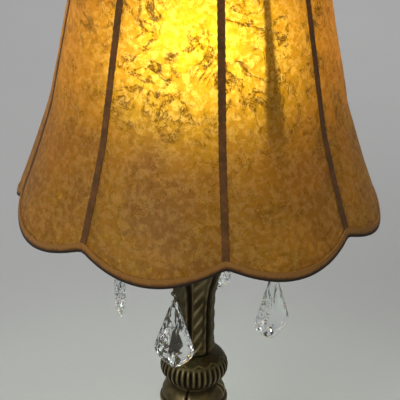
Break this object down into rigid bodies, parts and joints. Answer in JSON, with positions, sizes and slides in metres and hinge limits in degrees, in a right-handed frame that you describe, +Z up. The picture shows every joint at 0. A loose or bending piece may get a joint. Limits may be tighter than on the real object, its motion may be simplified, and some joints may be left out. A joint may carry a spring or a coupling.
{
  "type": "table lamp",
  "caption": "Table lamp: cast bronze leaf column with hanging crystal drops, harp and socket under a scalloped bell shade.",
  "frame": {"origin": "centre of the felt pad's underside, on the table", "axes": "+Z up along the threaded pipe; -Y is the side seen in the picture; +X to its right"},
  "size_m": [0.37, 0.37, 0.7062],
  "materials": {
    "felt": "dark green felt",
    "bronze": "dark olive antique bronze",
    "iron": "rough casting",
    "steel": "zinc plated",
    "brass": "aged brass",
    "black_phenolic": "moulded",
    "insulating_card": "pressed card",
    "lit_glass": "frosted, lit",
    "wire": "dark japanned wire",
    "crystal": "cut and polished",
    "parchment": "mottled translucent parchment with dark veins",
    "trim_ribbon": "dark brown ribbon"
  },
  "bodies": {
    "base": {"felt_pad": "felt", "foot": "bronze", "cord_bushing": "black_phenolic", "base_weight": "iron", "bottom_nut": "steel", "threaded_pipe": "steel", "lower_stem": "bronze", "urn_bowl": "bronze", "bead_ring": "bronze", "shoulder": "bronze", "knob": "bronze", "leaf_column": "bronze", "arm_hub": "bronze", "scroll_arm_1": "bronze", "scroll_arm_2": "bronze", "scroll_arm_3": "bronze", "scroll_arm_4": "bronze", "riser_sleeve": "bronze", "check_ring": "brass", "harp_saddle": "brass", "harp": "brass", "harp_stud": "brass", "socket_cap": "brass", "socket_shell": "brass", "socket_insulator": "insulating_card", "socket_interior": "black_phenolic"},
    "shade": {"shade_frame": "wire", "shade_spider": "wire", "shade_panel_1": "parchment", "shade_panel_2": "parchment", "shade_panel_3": "parchment", "shade_panel_4": "parchment", "shade_panel_5": "parchment", "shade_panel_6": "parchment", "shade_panel_7": "parchment", "shade_panel_8": "parchment", "rib_trim_1": "trim_ribbon", "rib_trim_2": "trim_ribbon", "rib_trim_3": "trim_ribbon", "rib_trim_4": "trim_ribbon", "rib_trim_5": "trim_ribbon", "rib_trim_6": "trim_ribbon", "rib_trim_7": "trim_ribbon", "rib_trim_8": "trim_ribbon", "bottom_trim": "trim_ribbon", "top_trim": "trim_ribbon"},
    "finial": {"finial": "bronze"},
    "bulb": {"bulb_base": "steel", "bulb_glass": "lit_glass"},
    "switch_key": {"switch_key": "black_phenolic"},
    "ferrule_left": {"ferrule_left": "brass"},
    "ferrule_right": {"ferrule_right": "brass"},
    "hook_1": {"hook_1": "wire"},
    "crystal_1": {"crystal_1": "crystal"},
    "hook_2": {"hook_2": "wire"},
    "crystal_2": {"crystal_2": "crystal"},
    "hook_3": {"hook_3": "wire"},
    "crystal_3": {"crystal_3": "crystal"},
    "hook_4": {"hook_4": "wire"},
    "crystal_4": {"crystal_4": "crystal"}
  },
  "joints": [
    {"name": "shade_turn", "type": "hinge", "parent": "base", "child": "shade", "pos_m": [0, 0, 0.662], "axis": [0, 0, 1], "continuous": true},
    {"name": "finial_turn", "type": "hinge", "parent": "base", "child": "finial", "pos_m": [0, 0, 0.668], "axis": [0, 0, 1], "continuous": true},
    {"name": "bulb_turn", "type": "hinge", "parent": "base", "child": "bulb", "pos_m": [0, 0, 0.5], "axis": [0, 0, 1], "continuous": true},
    {"name": "key_turn", "type": "hinge", "parent": "base", "child": "switch_key", "pos_m": [0, 0, 0.4797], "axis": [0.9063, 0.4226, 0], "continuous": true},
    {"name": "ferrule_left_slide", "type": "slide", "parent": "base", "child": "ferrule_left", "axis": [0, 0, 1], "range_m": [0, 0.013]},
    {"name": "ferrule_right_slide", "type": "slide", "parent": "base", "child": "ferrule_right", "axis": [0, 0, 1], "range_m": [0, 0.013]},
    {"name": "hook_1_swing", "type": "hinge", "parent": "base", "child": "hook_1", "pos_m": [-0.02008, -0.08053, 0.3202], "axis": [0.9703, -0.2419, 0], "range_deg": [-45, 20]},
    {"name": "crystal_1_swing", "type": "hinge", "parent": "hook_1", "child": "crystal_1", "pos_m": [-0.02008, -0.08053, 0.3052], "axis": [-0.2419, -0.9703, 0], "range_deg": [-30, 30]},
    {"name": "hook_2_swing", "type": "hinge", "parent": "base", "child": "hook_2", "pos_m": [0.08053, -0.02008, 0.3202], "axis": [0.2419, 0.9703, 0], "range_deg": [-45, 20]},
    {"name": "crystal_2_swing", "type": "hinge", "parent": "hook_2", "child": "crystal_2", "pos_m": [0.08053, -0.02008, 0.3052], "axis": [0.5, -0.866, 0], "range_deg": [-30, 30]},
    {"name": "hook_3_swing", "type": "hinge", "parent": "base", "child": "hook_3", "pos_m": [0.02008, 0.08053, 0.3202], "axis": [-0.9703, 0.2419, 0], "range_deg": [-45, 20]},
    {"name": "crystal_3_swing", "type": "hinge", "parent": "hook_3", "child": "crystal_3", "pos_m": [0.02008, 0.08053, 0.3052], "axis": [0.2419, 0.9703, 0], "range_deg": [-30, 30]},
    {"name": "hook_4_swing", "type": "hinge", "parent": "base", "child": "hook_4", "pos_m": [-0.08053, 0.02008, 0.3202], "axis": [-0.2419, -0.9703, 0], "range_deg": [-45, 20]},
    {"name": "crystal_4_swing", "type": "hinge", "parent": "hook_4", "child": "crystal_4", "pos_m": [-0.08053, 0.02008, 0.3052], "axis": [-0.9925, -0.1219, 0], "range_deg": [-30, 30]}
  ]
}
